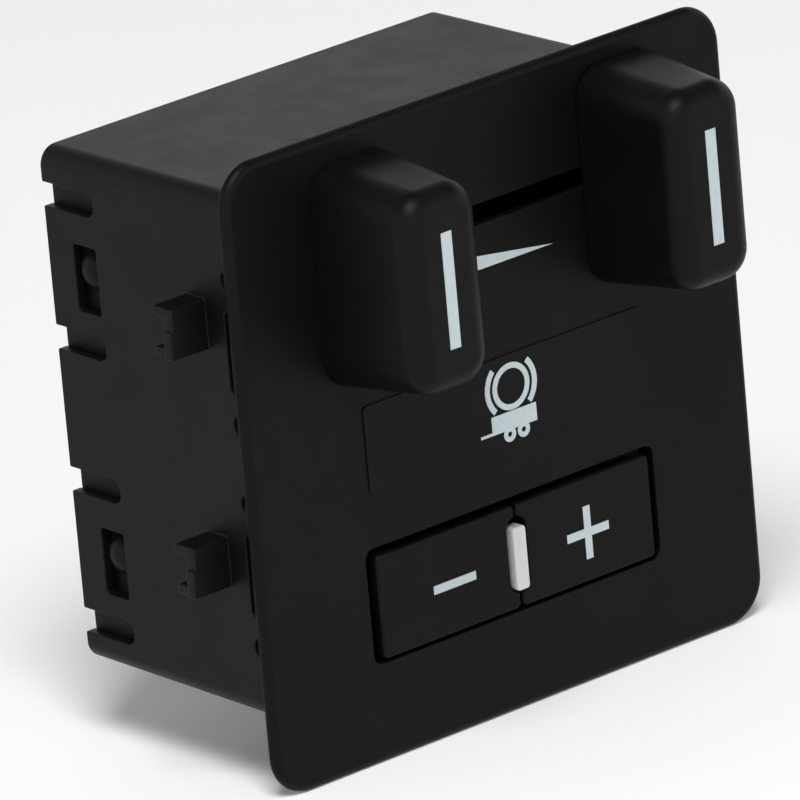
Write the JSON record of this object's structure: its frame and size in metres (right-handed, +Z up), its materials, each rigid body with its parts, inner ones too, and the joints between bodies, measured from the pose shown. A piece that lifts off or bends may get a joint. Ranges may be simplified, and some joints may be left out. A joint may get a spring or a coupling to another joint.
{
  "type": "brake controller unit",
  "caption": "Dash-mounted trailer brake control panel: square bezel, snap-in box housing, fixed grip, sliding apply grip, gain keys with an indicator lens.",
  "frame": {"origin": "centre of the dashboard cut-out, in the seating plane of the bezel flange", "axes": "+X to the driver's right, +Y into the dashboard, +Z up"},
  "size_m": [0.07, 0.0497, 0.0658],
  "materials": {
    "bezel_plastic": "fine grained black moulding, satin",
    "housing_plastic": "spark-eroded black moulding, satin",
    "grip_plastic": "grained black, slightly soft",
    "key_plastic": "smooth black, satin",
    "frame_plastic": "plain black moulding",
    "carriage_plastic": "black acetal, waxy",
    "connector_plastic": "black glass-filled nylon",
    "label_film": "thin black printed film",
    "white_print": "white pad print",
    "lens_white": "milky clear lens",
    "clear_plastic": "clear acrylic",
    "silicone": "grey silicone",
    "board_laminate": "green solder mask",
    "chip_epoxy": "black epoxy",
    "chip_ceramic": "ceramic chips",
    "capacitor_can": "drawn can",
    "led_body": "white body",
    "track_film": "carbon track on laminate",
    "pin_brass": "tinned brass",
    "wiper_bronze": "phosphor bronze",
    "screw_steel": "zinc plated",
    "rod_steel": "ground steel",
    "spring_steel": "music wire"
  },
  "bodies": {
    "root": {"front_bezel": "bezel_plastic", "housing": "housing_plastic", "rear_cover": "housing_plastic", "circuit_board": "board_laminate", "board_screws": "screw_steel", "connector_header": "connector_plastic", "connector_pins": "pin_brass", "microcontroller": "chip_epoxy", "chip_components": "chip_ceramic", "capacitors": "capacitor_can", "indicator_led": "led_body", "light_guide": "clear_plastic", "indicator_lens": "lens_white", "minus_switch_dome": "silicone", "plus_switch_dome": "silicone", "key_frame": "frame_plastic", "label_panel": "label_film", "brake_symbol": "white_print", "wedge_mark": "white_print", "fixed_grip": "grip_plastic", "fixed_grip_stripe": "white_print", "fixed_grip_screws": "screw_steel", "slide_guide": "frame_plastic", "guide_rods": "rod_steel", "return_spring": "spring_steel", "position_track": "track_film"},
    "slider": {"slide_grip": "grip_plastic", "slide_grip_stripe": "white_print", "slide_carriage": "carriage_plastic", "slide_wiper": "wiper_bronze"},
    "minus_button": {"minus_key": "key_plastic", "minus_mark": "white_print"},
    "plus_button": {"plus_key": "key_plastic", "plus_mark": "white_print"}
  },
  "joints": [
    {"name": "slider_apply", "type": "slide", "parent": "root", "child": "slider", "axis": [-1, 0, 0], "range_m": [0, 0.017], "stiffness_N_per_m": 150, "springref_m": -0.02, "deforming": ["return_spring"]},
    {"name": "minus_press", "type": "slide", "parent": "root", "child": "minus_button", "axis": [0, 1, 0], "range_m": [0, 0.0008], "stiffness_N_per_m": 900, "springref_m": -0.0015, "deforming": ["minus_switch_dome"]},
    {"name": "plus_press", "type": "slide", "parent": "root", "child": "plus_button", "axis": [0, 1, 0], "range_m": [0, 0.0008], "stiffness_N_per_m": 900, "springref_m": -0.0015, "deforming": ["plus_switch_dome"]}
  ]
}
